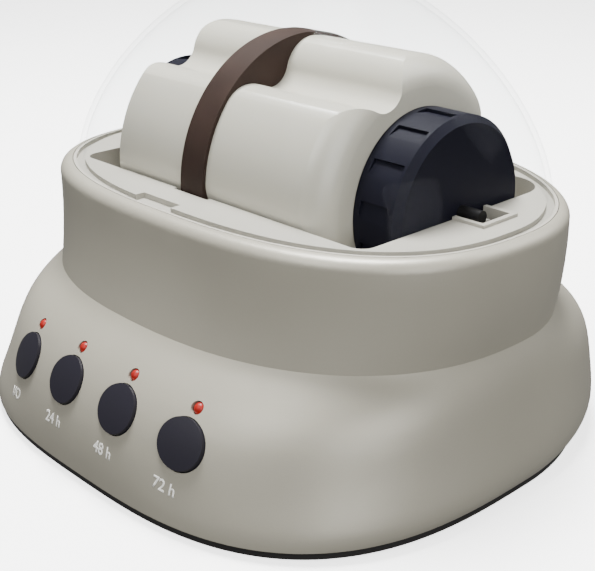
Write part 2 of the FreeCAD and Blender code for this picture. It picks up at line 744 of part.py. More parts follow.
axis_place = ("Sizes.centre_y", "Sizes.deck_top + Sizes.axis_rise")
for side, word in ((1, "right"), (-1, "left")):
    sign = "" if side > 0 else "-"
    inner = "Sizes.barrel_half + Sizes.thread_gap"
    outer = "Sizes.barrel_half + Sizes.cap_length"
    web = outer + " - Sizes.cap_face"
    bore = "Sizes.neck_radius + Sizes.thread_gap"
    cap_profile = [
        (inner, bore),
        (inner, "Sizes.cap_radius"),
        (outer + " - Sizes.cap_edge", "Sizes.cap_radius"),
        (outer, "Sizes.cap_radius - Sizes.cap_edge"),
        (outer, "0"),
        (web, "0"),
        (web, bore),
    ]
    cap_profile = [("%s(%s)" % (sign, x), r) for x, r in cap_profile]
    cap = turned(word + "_cap_turning", cap_profile, axis_place)
    grips = []
    for count in range(int(s.grip_count)):
        step = 2 * pi * (count + 0.5) / s.grip_count
        ramp = step + radians(s.grip_ramp)
        start = side * (s.barrel_half + s.grip_start)
        rims = [(s.cap_radius + 1, step), (s.cap_radius - s.grip_depth, step), (s.cap_radius + 0.2, ramp),
                (s.cap_radius + 1, ramp)]
        corners = [V(start, CY + radius * cos(angle), AXIS + radius * sin(angle)) for radius, angle in rims]
        notch = Part.Face(Part.makePolygon(corners + corners[:1]))
        grips.append(notch.extrude(V(side * s.grip_length, 0, 0)))
    grip_tools = shown(word + "_grip_tools", Part.makeCompound(grips))
    pin_hole = rod(word + "_pin_hole", "X", "Sizes.pin_radius",
                   outer + " - Sizes.pin_depth" if side > 0 else "-(%s)" % outer,
                   outer if side > 0 else "-(%s) + Sizes.pin_depth" % outer, axis_place)
    named(cut(word + "_cap", cap, [grip_tools, pin_hole]), word + "_cap")
    pin_start = outer + " - Sizes.pin_depth"
    pin_stop = outer + " + Sizes.pin_reach"
    pin_limits = (pin_start, pin_stop) if side > 0 else ("-(%s)" % pin_stop, "-(%s)" % pin_start)
    named(rod(word + "_pin", "X", "Sizes.pin_radius", *pin_limits, axis_place), word + "_pin")
    seal_start = web + " - Sizes.seal_thick"
    seal_stop = web
    seal_profile = [(seal_start, "Sizes.mouth_radius"), (seal_start, "Sizes.neck_radius"),
                    (seal_stop, "Sizes.neck_radius"), (seal_stop, "Sizes.mouth_radius")]
    seal_profile = [("%s(%s)" % (sign, x), r) for x, r in seal_profile]
    named(turned(word + "_seal", seal_profile, axis_place), word + "_seal")

# ---------------------------------------------------------------- roller, gears and gearmotor

roller_y = "(Sizes.centre_y + (Sizes.ring_radius + Sizes.roller_radius + Sizes.roller_gap)"
roller_y += " * sin(Sizes.roller_angle * 1 deg))"
roller_z = "(Sizes.deck_top + Sizes.axis_rise - (Sizes.ring_radius + Sizes.roller_radius"
roller_z += " + Sizes.roller_gap) * cos(Sizes.roller_angle * 1 deg))"
output_z = "(%s - Sizes.gear_module * (Sizes.gear_teeth + Sizes.pinion_teeth) / 2)" % roller_z
roller_place = (roller_y, roller_z)
tyre_left = "Sizes.ring_left - Sizes.roller_margin"
tyre_right = "Sizes.ring_left + Sizes.ring_width + Sizes.roller_margin"
tyre_profile = [(tyre_left, "Sizes.roller_core"), (tyre_left, "Sizes.roller_radius"),
                (tyre_right, "Sizes.roller_radius"), (tyre_right, "Sizes.roller_core")]
named(turned("roller_tyre", tyre_profile, roller_place), "roller_tyre")
core_profile = [(tyre_left, "Sizes.shaft_radius"), (tyre_left, "Sizes.roller_core"),
                (tyre_right, "Sizes.roller_core"), (tyre_right, "Sizes.shaft_radius")]
named(turned("roller_core", core_profile, roller_place), "roller_core")
shaft_left = "Sizes.bracket_left - Sizes.shaft_stub"
shaft_right = "Sizes.gear_left + Sizes.gear_width + Sizes.shaft_stub"
named(rod("roller_shaft", "X", "Sizes.shaft_radius", shaft_left, shaft_right, roller_place), "roller_shaft")

PRESSURE = radians(20)


def involute(angle):
    return tan(angle) - angle


def gear(teeth, centre, bore, first_tooth):
    """A spur gear of straight involute teeth, one of them centred on first_tooth."""
    pitch = s.gear_module * teeth / 2
    base = pitch * cos(PRESSURE)
    tip = pitch + 0.85 * s.gear_module
    root = pitch - 1.3 * s.gear_module
    half_tooth = pi / (2 * teeth) - 0.035 * s.gear_module / pitch * 2
    flank = [max(base, root) + (tip - max(base, root)) * step / 4 for step in range(5)]
    points = []
    for tooth in range(int(teeth)):
        middle = first_tooth + 2 * pi * tooth / teeth
        spread = [half_tooth + involute(PRESSURE) - involute(acos(min(1, base / r))) for r in flank]
        rising = [(root, -spread[0])] + [(r, -a) for r, a in zip(flank, spread)]
        falling = [(r, -a) for r, a in reversed(rising)]
        for r, a in rising + falling:
            points.append(V(s.gear_left, centre.y + r * cos(middle + a), centre.z + r * sin(middle + a)))
    face = Part.Face(Part.makePolygon(points + points[:1]))
    blank = face.extrude(V(s.gear_width, 0, 0))
    hole = Part.makeCylinder(bore, s.gear_width, V(s.gear_left, centre.y, centre.z), V(1, 0, 0))
    return blank.cut(hole)


DOWN = -pi / 2
named(shown("roller_gear", gear(s.gear_teeth, ROLLER, s.shaft_radius, DOWN)), "roller_gear")
pinion_phase = -DOWN + pi / s.pinion_teeth
named(shown("output_pinion", gear(s.pinion_teeth, OUTPUT, s.output_radius, pinion_phase)), "output_pinion")

output_place = (roller_y, output_z)
screw_run = "Sizes.screw_radius + Sizes.screw_gap"
motor_face = "Sizes.bracket_right + Sizes.bracket_wall"
gearbox_end = motor_face + " + Sizes.gearbox_length"
named(rod("output_shaft", "X", "Sizes.output_radius", "Sizes.gear_left - Sizes.output_stub",
          motor_face + " + Sizes.output_grip", output_place), "output_shaft")
gearbox = rod("gearbox_drum", "X", "Sizes.gearbox_radius", motor_face, gearbox_end, output_place)
gearbox_boss = rod("gearbox_nose", "X", "Sizes.gearbox_boss", "Sizes.bracket_right", motor_face, output_place)
shaft_bore = rod("gearbox_bore", "X", "Sizes.output_radius + Sizes.running_gap", "Sizes.bracket_right",
                 motor_face + " + Sizes.output_grip + 1", output_place)
gearbox_pilots = [
    rod("gearbox_pilot_%d" % index, "X", screw_run, motor_face, motor_face + " + Sizes.motor_screw_grip + 1",
        ("%s + %d * Sizes.motor_screw_side" % (roller_y, across), output_z))
    for index, across in enumerate((-1, 1))
]
gearbox_body = cut("gearbox_shell", fuse("gearbox_solid", [gearbox, gearbox_boss]),
                   [shaft_bore] + gearbox_pilots)
named(gearbox_body, "gearbox")
motor_end = gearbox_end + " + Sizes.motor_length"
can = rod("motor_drum", "X", "Sizes.motor_radius", gearbox_end, motor_end, output_place)
end_boss = rod("motor_boss", "X", "Sizes.motor_radius / 3", motor_end, motor_end + " + Sizes.motor_boss",
               output_place)
named(fuse("motor_case", [can, end_boss]), "motor_can")

# ---------------------------------------------------------------- bracket and its bushes

bracket_y = (roller_y + " - Sizes.bracket_half", roller_y + " + Sizes.bracket_half")
foot_top = "Sizes.base_height + Sizes.bracket_foot"
bracket_walls = [block("bracket_foot_plate",
                       ("Sizes.bracket_left", "Sizes.bracket_right + Sizes.bracket_wall"),
                       bracket_y, ("Sizes.base_height", foot_top))]
for word in ("left", "middle", "right"):
    start = "Sizes.bracket_" + word
    bracket_walls.append(block("bracket_wall_" + word, (start, start + " + Sizes.bracket_wall"),
                               bracket_y, ("Sizes.base_height", "Sizes.deck_top / 2 + Sizes.bracket_half")))
swing = rod("bracket_relief", "X", "Sizes.crest_radius + Sizes.window_gap", "-Sizes.barrel_half",
            "Sizes.barrel_half", axis_place)
seats = []
for word in ("left", "middle"):
    start = "Sizes.bracket_" + word
    seats.append(rod("bush_seat_" + word, "X", "Sizes.bush_radius", start, start + " + Sizes.bracket_wall",
                     roller_place))
nose_seat = rod("nose_seat", "X", "Sizes.gearbox_boss", "Sizes.bracket_right", motor_face, output_place)
bracket_holes = []
bracket_screws = []
corners = [(word, across) for word in ("left", "right") for across in (-1, 1)]
for index, (word, across) in enumerate(corners):
    place = ("Sizes.bracket_screw_" + word, "%s + %d * Sizes.bracket_screw_side" % (roller_y, across))
    bracket_holes.append(rod("bracket_hole_%d" % index, "Z", screw_run, "Sizes.base_height", foot_top, place))
    shank = rod("bracket_shank_%d" % index, "Z", "Sizes.screw_radius",
                "Sizes.plate_bottom + Sizes.plate_skin", foot_top, place)
    head = rod("bracket_head_%d" % index, "Z", "Sizes.head_radius", foot_top,
               foot_top + " + Sizes.head_height", place)
    bracket_screws.append(fuse("bracket_screw_%d" % index, [shank, head]))
motor_screws = []
for index, across in enumerate((-1, 1)):
    place = ("%s + %d * Sizes.motor_screw_side" % (roller_y, across), output_z)
    start = "Sizes.bracket_right - Sizes.head_height"
    stop = motor_face + " + Sizes.motor_screw_grip"
    hole = rod("motor_hole_%d" % index, "X", screw_run, "Sizes.bracket_right", motor_face, place)
    bracket_holes.append(hole)
    head = rod("motor_head_%d" % index, "X", "Sizes.head_radius", start, "Sizes.bracket_right", place)
    shank = rod("motor_shank_%d" % index, "X", "Sizes.screw_radius", "Sizes.bracket_right", stop, place)
    motor_screws.append(fuse("motor_screw_%d" % index, [shank, head]))
bracket = cut("bracket", fuse("bracket_solid", bracket_walls), [swing, nose_seat] + seats + bracket_holes)
named(bracket, "drive_bracket")
named(group("bracket_screw_set", bracket_screws), "bracket_screws")
named(group("motor_screw_set", motor_screws), "motor_screws")
bush_set = []
for word in ("left", "middle"):
    start = "Sizes.bracket_" + word
    stop = start + " + Sizes.bracket_wall"
    bore = "Sizes.shaft_radius + Sizes.running_gap"
    profile = [(start + " - Sizes.bush_flange", bore), (start + " - Sizes.bush_flange", "Sizes.bush_radius"),
               (stop, "Sizes.bush_radius"), (stop, bore)]
    bush_set.append(turned("bush_" + word, profile, roller_place))
named(group("bush_pair", bush_set), "roller_bushes")

# ---------------------------------------------------------------- bottom plate, feet, base screws

PLATE_TOP = s.base_height
plate = slab(section("base", s.plate_inset, s.plate_bottom), PLATE_TOP - s.plate_bottom)
foot_places = [(side * s.foot_side, CY - s.foot_front) for side in (-1, 1)]
foot_places += [(side * s.foot_side, CY + s.foot_back) for side in (-1, 1)]
holes = []
for x, y in foot_places:
    holes.append(Part.makeCylinder(s.foot_radius, s.foot_height - s.plate_bottom, V(x, y, s.plate_bottom)))
for x, y in boss_places:
    holes.append(Part.makeCylinder(s.screw_radius + s.screw_gap, PLATE_TOP + PAST, V(x, y, 0)))
    holes.append(Part.makeCylinder(s.head_radius + s.screw_gap, s.head_height, V(x, y, s.plate_bottom)))
for index in range(int(s.vent_count)):
    x = s.bracket_right + s.gearbox_length / 2 + s.vent_pitch * index
    corner = V(x, ROLLER.y - s.vent_length / 2, 0)
    holes.append(Part.makeBox(s.vent_width, s.vent_length, PLATE_TOP + PAST, corner))
for screw in bracket_screws:
    doc.recompute()
    middle = screw.Shape.BoundBox.Center
    pilot = V(middle.x, middle.y, s.plate_bottom + s.plate_skin)
    holes.append(Part.makeCylinder(s.screw_radius + s.screw_gap, s.base_height, pilot))
named(shown("bottom_plate", plate.cut(holes)), "bottom_plate")

feet = []
for index, (x, y) in enumerate(foot_places):
    feet.append(rod("foot_%d" % index, "Z", "Sizes.foot_radius", "0", "Sizes.foot_height", (x, y)))
named(group("foot_set", feet), "rubber_feet")

base_screws = []


def cross_recess(index, x, y):
    """The two crossed slots that a screwdriver turns, cut up into a head from below."""
    head_face = "Sizes.plate_bottom + Sizes.screw_sink"
    long_way, short_way = "Sizes.recess_length / 2", "Sizes.recess_width / 2"
    slots = []
    for turn, (along, across) in enumerate(((long_way, short_way), (short_way, long_way))):
        slots.append(block("recess_%d_%d" % (index, turn), ("%s - %s" % (x, along), "%s + %s" % (x, along)),
                           ("%s - %s" % (y, across), "%s + %s" % (y, across)),
                           (head_face, head_face + " + Sizes.recess_depth")))
    return slots


for index, (x, y) in enumerate(boss_places):
    head_top = "Sizes.plate_bottom + Sizes.head_height"
    head = rod("base_head_%d" % index, "Z", "Sizes.head_radius", "Sizes.plate_bottom + Sizes.screw_sink",
               head_top, (x, y))
    shank = rod("base_shank_%d" % index, "Z", "Sizes.screw_radius", head_top,
                "Sizes.base_height + Sizes.screw_length - Sizes.screw_end", (x, y))
    base_screws.append(cut("base_screw_%d" % index, fuse("base_blank_%d" % index, [head, shank]),
                           cross_recess(index, x, y)))
named(group("base_screw_set", base_screws), "base_screws")

deck_screws = []
for index, (x, y) in enumerate(deck_screw_places):
    tab_bottom = "(Sizes.deck_top - Sizes.deck_thick - Sizes.deck_boss_height - Sizes.ledge_thick)"
    head = rod("deck_head_%d" % index, "Z", "Sizes.head_radius", tab_bottom + " - Sizes.head_height",
               tab_bottom, (x, y))
    shank = rod("deck_shank_%d" % index, "Z", "Sizes.screw_radius", tab_bottom,
                tab_bottom + " + Sizes.ledge_thick + Sizes.deck_boss_height - Sizes.screw_end - 0.5", (x, y))
    deck_screws.append(fuse("deck_screw_%d" % index, [head, shank]))
named(group("deck_screw_set", deck_screws), "deck_screws")

# ---------------------------------------------------------------- buttons, lamps and their board

board = doc.addObject("Part::Box", "board_blank")
bind(board, Length="2 * Sizes.board_half", Width="Sizes.board_low + Sizes.board_high",
     Height="Sizes.board_thick")
board.Placement = FreeCAD.Placement(on_panel(-s.board_half, -s.board_low, -s.board_depth - s.board_thick),
                                    PANEL_TURN)
board_tools = [panel_rod(s.small_screw + s.screw_gap, across, s.post_rise,
                         -s.board_depth - s.board_thick, -s.board_depth)
               for across in POST_COLUMNS]
LEGS = (-s.leg_pitch / 2, s.leg_pitch / 2)
for across in COLUMNS:
    for leg in LEGS:
        board_tools.append(panel_rod(s.leg_radius + s.led_gap, across + leg, s.led_rise,
                                     -s.board_depth - s.board_thick, -s.board_depth))
named(cut("board_plate", board, [shown("board_holes", Part.makeCompound(board_tools))]), "control_board")

board_screws = []
for across in POST_COLUMNS:
    back = -s.board_depth - s.board_thick
    screw = panel_rod(s.small_head, across, s.post_rise, back - s.small_head_height, back)
    screw = screw.fuse(panel_rod(s.small_screw, across, s.post_rise, back, back + s.small_screw_length))
    board_screws.append(screw)
named(shown("board_screws", Part.makeCompound(board_screws)), "board_screws")

switches = []
leds = []
proud_form = bell(-s.button_proud, s.base_height, s.top_height)
flange_form = bell(s.wall + s.flange_gap, s.base_height, s.top_height)
for across, word in zip(COLUMNS, COLUMN_NAMES):
    skin = skin_depth(across, 0)
    deep = skin - s.wall - s.button_depth
    face = egg(across, 0, deep, skin + s.hole_reach).common(proud_form)
    flange = egg(across, s.button_flange, deep, skin).common(flange_form)
    stem_end = -s.board_depth + s.switch_height + s.button_travel + s.switch_clear
    stem = panel_rod(s.stem_radius, across, 0, stem_end, deep + PAST)
    button = face.fuse([flange, stem]).removeSplitter()
    named(shown(word + "_button", button), word + "_button")
    plunger_end = -s.board_depth + s.switch_floor + s.button_travel + s.switch_clear
    plunger = panel_rod(s.plunger_radius, across, 0, plunger_end, stem_end)
    named(shown(word + "_plunger", plunger), word + "_plunger")
    half = s.switch_size / 2
    case = Part.makeBox(s.switch_size, s.switch_size, s.switch_height)
    case.Placement = FreeCAD.Placement(on_panel(across - half, -half, -s.board_depth), PANEL_TURN)
    switches.append(case.cut(panel_rod(s.plunger_radius + s.running_gap, across, 0,
                                       -s.board_depth + s.switch_floor,
                                       -s.board_depth + s.switch_height)))
    lamp_skin = skin_depth(across, s.led_rise)
    tip = lamp_skin + s.led_proud - s.led_radius
    lens = panel_rod(s.led_radius, across, s.led_rise, tip - s.led_length, tip)
    lens = lens.fuse(Part.makeSphere(s.led_radius, on_panel(across, s.led_rise, tip)))
    leg_end = -s.board_depth - s.board_thick - s.leg_stub
    legs = [panel_rod(s.leg_radius, across + leg, s.led_rise, leg_end, tip - s.led_length + PAST / 2)
            for leg in LEGS]
    leds.append(lens.fuse(legs))
named(shown("tact_switches", Part.makeCompound(switches)), "tact_switches")
named(shown("status_lamps", Part.makeCompound(leds)), "status_lamps")

# ---------------------------------------------------------------- power inlet

inlet_y = "%.6f" % INLET_FACE
inlet_place = ("Sizes.inlet_side", "Sizes.inlet_height")
flange_face = inlet_y + " + Sizes.inlet_lip"
flange = rod("inlet_flange_disc", "Y", "Sizes.inlet_flange", inlet_y, flange_face, inlet_place)
sleeve = rod("inlet_sleeve", "Y", "Sizes.inlet_body", inlet_y + " - Sizes.inlet_length", inlet_y, inlet_place)
socket = rod("inlet_socket", "Y", "Sizes.inlet_hole", flange_face + " - Sizes.inlet_depth",
             inlet_y + " + Sizes.inlet_lip", inlet_place)
contact = rod("inlet_contact", "Y", "Sizes.inlet_pin", flange_face + " - Sizes.inlet_depth - Sizes.inlet_gap",
              inlet_y + " - Sizes.inlet_gap", inlet_place)
hollow_jack = cut("inlet_case", fuse("inlet_solid", [flange, sleeve]), [socket])
named(fuse("inlet", [hollow_jack, contact]), "power_inlet")
nut = doc.addObject("Part::Prism", "nut_blank")
bind(nut, Polygon="6", Circumradius="Sizes.nut_width / 2 / cos(30 deg)", Height="Sizes.nut_thick")
NUT_FACE = INLET_FACE - s.wall - s.nut_gap
nut.Placement = FreeCAD.Placement(V(s.inlet_side, NUT_FACE - s.nut_thick, s.inlet_height),
                                  FreeCAD.Rotation(V(1, 0, 0), -90))
nut_bore = rod("nut_bore", "Y", "Sizes.inlet_body", "%.6f - Sizes.nut_thick" % NUT_FACE,
               "%.6f" % NUT_FACE, inlet_place)
named(cut("nut", nut, [nut_bore]), "inlet_nut")

# ---------------------------------------------------------------- dome


DOME_SHARES = (1.0, 0.985, 0.955, 0.9, 0.82, 0.72, 0.6, 0.47, 0.34, 0.22, 0.12, 0.05)


def dome_form(inset):
    """The dome's form, moved in by inset, as sections that shrink towards the apex."""
    grip = s.seat_lip + s.dome_gap + inset
    half = s.deck_half - grip
    front = s.deck_front - grip
    back = s.deck_back - grip
    floor = s.deck_top - s.seat_depth + s.dome_lift
    height = s.deck_top + s.dome_height - inset - floor
    rings = []
    for share in DOME_SHARES:
        level = (1 - share ** s.dome_power) ** (1 / s.dome_power)
        front_power = s.top_front_power + (2 - s.top_front_power) * level
        back_power = s.top_back_power + (2 - s.top_back_power) * level
        rings.append(oval(half * share, front * share, back * share, front_power, back_power,
                          floor + height * level))
    rings.append(Part.Vertex(V(0, CY, floor + height)))
    return Part.makeLoft(rings, True)


named(shown("clear_dome", dome_form(0).cut(dome_form(s.dome_wall))), "clear_dome")

# ---------------------------------------------------------------- check and write

doc.recompute()
for thing in doc.Objects:
    bad = [flag for flag in thing.State if flag in ("Invalid", "Error")]
    if bad:
        raise RuntimeError("%s: %s" % (thing.Label, bad))
for node in NODES:
    if node.Shape.isNull() or not node.Shape.isValid():
        raise RuntimeError("%s: bad shape" % node.Label)
    node.Shape.exportStep("parts/%s.step" % node.Label)
    print(node.Label, len(node.Shape.Solids), round(node.Shape.Volume, 1))
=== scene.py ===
import json
from math import cos, radians, sin

import bmesh
import bpy
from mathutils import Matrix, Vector
from mathutils.bvhtree import BVHTree

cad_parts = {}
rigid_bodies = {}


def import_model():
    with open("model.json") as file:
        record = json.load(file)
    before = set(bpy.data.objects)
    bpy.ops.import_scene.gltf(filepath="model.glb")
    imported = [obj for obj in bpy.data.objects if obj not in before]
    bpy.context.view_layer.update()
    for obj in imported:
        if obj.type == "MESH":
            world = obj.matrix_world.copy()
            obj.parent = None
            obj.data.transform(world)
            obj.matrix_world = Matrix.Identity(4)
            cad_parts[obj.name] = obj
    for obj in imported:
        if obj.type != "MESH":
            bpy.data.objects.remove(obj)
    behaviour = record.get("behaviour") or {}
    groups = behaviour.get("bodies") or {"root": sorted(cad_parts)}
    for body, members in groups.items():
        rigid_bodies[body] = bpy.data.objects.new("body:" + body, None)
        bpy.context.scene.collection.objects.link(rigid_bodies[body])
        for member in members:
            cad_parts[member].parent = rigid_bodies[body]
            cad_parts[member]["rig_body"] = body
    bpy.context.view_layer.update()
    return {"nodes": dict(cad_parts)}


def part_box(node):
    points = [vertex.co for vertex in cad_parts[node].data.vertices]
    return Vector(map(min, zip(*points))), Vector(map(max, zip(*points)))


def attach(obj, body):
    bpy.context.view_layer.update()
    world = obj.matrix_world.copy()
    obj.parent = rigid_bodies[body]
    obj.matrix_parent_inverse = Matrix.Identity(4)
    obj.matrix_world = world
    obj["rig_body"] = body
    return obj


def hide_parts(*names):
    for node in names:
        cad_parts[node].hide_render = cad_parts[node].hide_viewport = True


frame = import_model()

# ------------------------------------------------------------------ upper housing
# The bell-shaped skirt and the collar above it, one ABS moulding sprayed in silver-grey
# lacquer. Fine metal flake lies in the lacquer, and its edges are rounded by the mould.

NODES = frame["nodes"]


class Link:
    """A shader value that takes part in plain arithmetic."""

    def __init__(self, finish, socket):
        self.finish = finish
        self.socket = socket

    def maths(self, operation, first, second):
        return self.finish.node("ShaderNodeMath", {"operation": operation}, {0: first, 1: second})

    def __add__(self, other):
        return self.maths("ADD", self, other)

    def __radd__(self, other):
        return self.maths("ADD", other, self)

    def __sub__(self, other):
        return self.maths("SUBTRACT", self, other)

    def __rsub__(self, other):
        return self.maths("SUBTRACT", other, self)

    def __mul__(self, other):
        return self.maths("MULTIPLY", self, other)

    def __rmul__(self, other):
        return self.maths("MULTIPLY", other, self)

    def __pow__(self, other):
        return self.maths("POWER", self, other)


class Finish:
    """One material; node() makes any of its nodes from settings and sockets."""

    def __init__(self, name):
        self.material = bpy.data.materials.new(name)
        self.material.use_nodes = True
        self.tree = self.material.node_tree
        self.tree.nodes.clear()
        self.place = self.node("ShaderNodeTexCoord", output="Object")

    def node(self, kind, settings=None, sockets=None, output=0):
        made = self.tree.nodes.new(kind)
        for name, value in (settings or {}).items():
            setattr(made, name, value)
        for name, value in (sockets or {}).items():
            if isinstance(value, Link):
                self.tree.links.new(value.socket, made.inputs[name])
            else:
                made.inputs[name].default_value = value
        return Link(self, made.outputs[output])

    def noise(self, size, detail=2.0):
        """Soft cloudy variation whose features are about size metres across."""
        return self.node("ShaderNodeTexNoise", None,
                         {"Vector": self.place, "Scale": 1 / size, "Detail": detail}, "Fac")

    def blend(self, share, first, second):
        return self.node("ShaderNodeMix", {"data_type": "RGBA"},
                         {0: share, 6: first, 7: second}, 2)

    def bump(self, height, depth):
        return self.node("ShaderNodeBump", None,
                         {"Height": height, "Distance": depth, "Strength": 1.0}, "Normal")

    def surface(self, **sockets):
        shader = self.node("ShaderNodeBsdfPrincipled", None,
                           {name.replace("_", " "): value for name, value in sockets.items()})
        self.ends_in(shader)

    def ends_in(self, shader):
        made = self.tree.nodes.new("ShaderNodeOutputMaterial")
        self.tree.links.new(shader.socket, made.inputs["Surface"])

    def on(self, *pieces):
        for piece in pieces:
            piece.data.materials.clear()
            piece.data.materials.append(self.material)


def tint(red, green, blue):
    """A colour from its display values, 0 to 255, as light."""
    share = [value / 255 for value in (red, green, blue)]
    return [v / 12.92 if v <= 0.04045 else ((v + 0.055) / 1.055) ** 2.4 for v in share] + [1.0]


CLOUD_SIZE = 0.045
CLOUD_SHARE = 0.7
SPECK_SHARE = 0.3
CLOUD_GLOSS = 0.08
SPECK_GLOSS = 0.06
GLOSS_MIDDLE = 0.07


def moulded(name, light, dark, roughness, grain, depth, **extra):
    """A moulded or sprayed skin: cloudy colour, uneven gloss and a fine grain."""
    skin = Finish(name)
    cloud = skin.noise(CLOUD_SIZE, 3.0)
    speck = skin.noise(grain)
    colour = skin.blend(cloud * CLOUD_SHARE + speck * SPECK_SHARE, dark, light)
    gloss = cloud * CLOUD_GLOSS + speck * SPECK_GLOSS + (roughness - GLOSS_MIDDLE)
    skin.surface(Base_Color=colour, Roughness=gloss, Normal=skin.bump(speck, depth), **extra)
    return skin


def in_scene(name, mesh):
    """The object that a finished bmesh becomes."""
    data = bpy.data.meshes.new(name)
    mesh.to_mesh(data)
    mesh.free()
    piece = bpy.data.objects.new(name, data)
    bpy.context.scene.collection.objects.link(piece)
    return piece


def smoothed(node, crease=28):
    """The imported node's shape, its facets merged and shaded as the skin they stand for.

    An edge stays sharp where its faces meet at more than crease degrees."""
    source = NODES[node]
    mesh = bmesh.new()
    mesh.from_mesh(source.data)
    bmesh.ops.remove_doubles(mesh, verts=mesh.verts, dist=1e-6)
    for face in mesh.faces:
        face.smooth = True
    for edge in mesh.edges:
        edge.smooth = len(edge.link_faces) == 2 and edge.calc_face_angle(0) < radians(crease)
    piece = in_scene(node + "_skin", mesh)
    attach(piece, source["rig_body"])
    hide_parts(node)
    return piece


housing = smoothed("upper_housing", 30)
moulded("sprayed silver shell", tint(162, 158, 144), tint(147, 143, 130),
        roughness=0.42, grain=0.0006, depth=0.00001,
        Metallic=0.2, Coat_Weight=0.1, Coat_Roughness=0.3).on(housing)

# ------------------------------------------------------------------ deck and cradle
# A light-grey ABS moulding let into the collar: a pocket for the barrel, slots for its pins
# and the groove that the dome stands in. Moulded in its own colour, with a fine spark finish.
# Two open-topped acetal bearings stand in the slots.

deck = smoothed("deck_cradle", 30)
moulded("spark-finished deck plastic", tint(168, 164, 154), tint(156, 152, 142),
        roughness=0.5, grain=0.0005, depth=0.00003).on(deck)

bearings = smoothed("pin_bearings", 30)
moulded("grey acetal", tint(158, 155, 147), tint(146, 143, 135),
        roughness=0.35, grain=0.0008, depth=0.00001).on(bearings)

# ------------------------------------------------------------------ barrel
# The tumbling drum, blow-moulded in off-white polyethylene that lets a little light in. Its
# four lobes lift the stones as it turns, and both ends have a neck for a screw cap.

drum = smoothed("barrel_drum", 35)
moulded("off-white polyethylene", tint(192, 188, 175), tint(178, 174, 161),
        roughness=0.3, grain=0.0012, depth=0.000006,
        Coat_Weight=0.2, Coat_Roughness=0.32,
        Subsurface_Weight=0.06, Subsurface_Radius=(0.004, 0.003, 0.002)).on(drum)

# ------------------------------------------------------------------ drive ring
# A stretched band of brown-black rubber round the drum, which the roller drives. It has the
# dull bloom and the fine pores of moulded rubber.

ring = smoothed("drive_ring", 30)
rubber = Finish("brown drive rubber")
bloom = rubber.noise(0.02, 4.0)
pores = rubber.noise(0.0007)
rubber.surface(Base_Color=rubber.blend(bloom, tint(38, 29, 26), tint(60, 46, 40)),
               Roughness=bloom * 0.15 + 0.5, Specular_IOR_Level=0.12,
               Normal=rubber.bump(pores, 0.00004))
rubber.on(ring)

# ------------------------------------------------------------------ caps
# Screw caps of navy polypropylene with grip grooves round the side. Each holds a steel pin
# and clamps a rubber seal on the neck.

caps = [smoothed(side + "_cap", 32) for side in ("right", "left")]
moulded("navy polypropylene", tint(24, 24, 34), tint(18, 18, 27),
        roughness=0.5, grain=0.0007, depth=0.000006, Specular_IOR_Level=0.08).on(*caps)

# ------------------------------------------------------------------ steel and bronze
# The shafts, the screws, the inlet's nut and the drive's bracket are bright steel with a fine
# uneven grain, and the pins in the caps are blackened. The gearmotor is plated sheet steel,
# and the roller's bushes are sintered bronze.

steel = Finish("bright steel")
grain = steel.noise(0.0004, 1.0)
haze = steel.noise(0.01)
steel.surface(Base_Color=steel.blend(haze, tint(186, 186, 184), tint(202, 202, 199)),
              Metallic=1.0, Roughness=grain * 0.12 + 0.22, Normal=steel.bump(grain, 0.00001))
for node in ("roller_shaft", "output_shaft", "base_screws", "deck_screws",
             "board_screws", "bracket_screws", "motor_screws", "inlet_nut", "drive_bracket"):
    steel.on(smoothed(node))

oxide = moulded("blackened steel", tint(52, 51, 52), tint(38, 37, 38),
                roughness=0.4, grain=0.0006, depth=0.000005, Metallic=0.8)
for node in ("right_pin", "left_pin"):
    oxide.on(smoothed(node))

plated = Finish("plated motor steel")
grime = plated.noise(0.015, 4.0)
plated.surface(Base_Color=plated.blend(grime, tint(150, 150, 148), tint(176, 176, 172)),
               Metallic=0.95, Roughness=grime * 0.2 + 0.25, Normal=plated.bump(grime, 0.00002))
for node in ("gearbox", "motor_can"):
    plated.on(smoothed(node))

bronze = Finish("sintered bronze")
pits = bronze.noise(0.0005, 3.0)
bronze.surface(Base_Color=bronze.blend(pits, tint(150, 116, 74), tint(176, 140, 92)),
               Metallic=0.9, Roughness=pits * 0.2 + 0.3, Normal=bronze.bump(pits, 0.00003))
bronze.on(smoothed("roller_bushes"))

# ------------------------------------------------------------------ roller, gears and seals
# The roller's black rubber tyre sits on an acetal core beside its gear, which the acetal
# pinion on the motor drives. The feet and the caps' seals are of the tyre's rubber.

black_rubber = moulded("black rubber", tint(40, 39, 39), tint(30, 29, 29),
                       roughness=0.6, grain=0.0006, depth=0.00005)
for node in ("roller_tyre", "rubber_feet", "right_seal", "left_seal"):
    black_rubber.on(smoothed(node))
acetal = moulded("natural acetal", tint(222, 218, 205), tint(208, 203, 189),
                 roughness=0.4, grain=0.0009, depth=0.00001)
for node in ("roller_core", "roller_gear", "output_pinion"):
    acetal.on(smoothed(node))

# ------------------------------------------------------------------ bottom plate and board
# The floor of the base, black ABS, which shows as a dark line under the skirt. The inlet at
# the back, the switches and the buttons' plungers are of the same black, and the switches
# stand on a green circuit board.

black = moulded("black ABS", tint(26, 24, 23), tint(16, 15, 14),
                roughness=0.5, grain=0.0006, depth=0.00004)
for node in ("bottom_plate", "power_inlet", "tact_switches", "power_plunger", "one_plunger",
             "two_plunger", "three_plunger"):
    black.on(smoothed(node))

board = moulded("green solder mask", tint(38, 92, 54), tint(28, 74, 42),
                roughness=0.35, grain=0.0011, depth=0.00002)
board.on(smoothed("control_board"))

# ------------------------------------------------------------------ buttons and lamps
# Four egg-shaped push buttons of dark navy plastic stand through the skirt. Above each is a
# round red lamp with a faint glow.

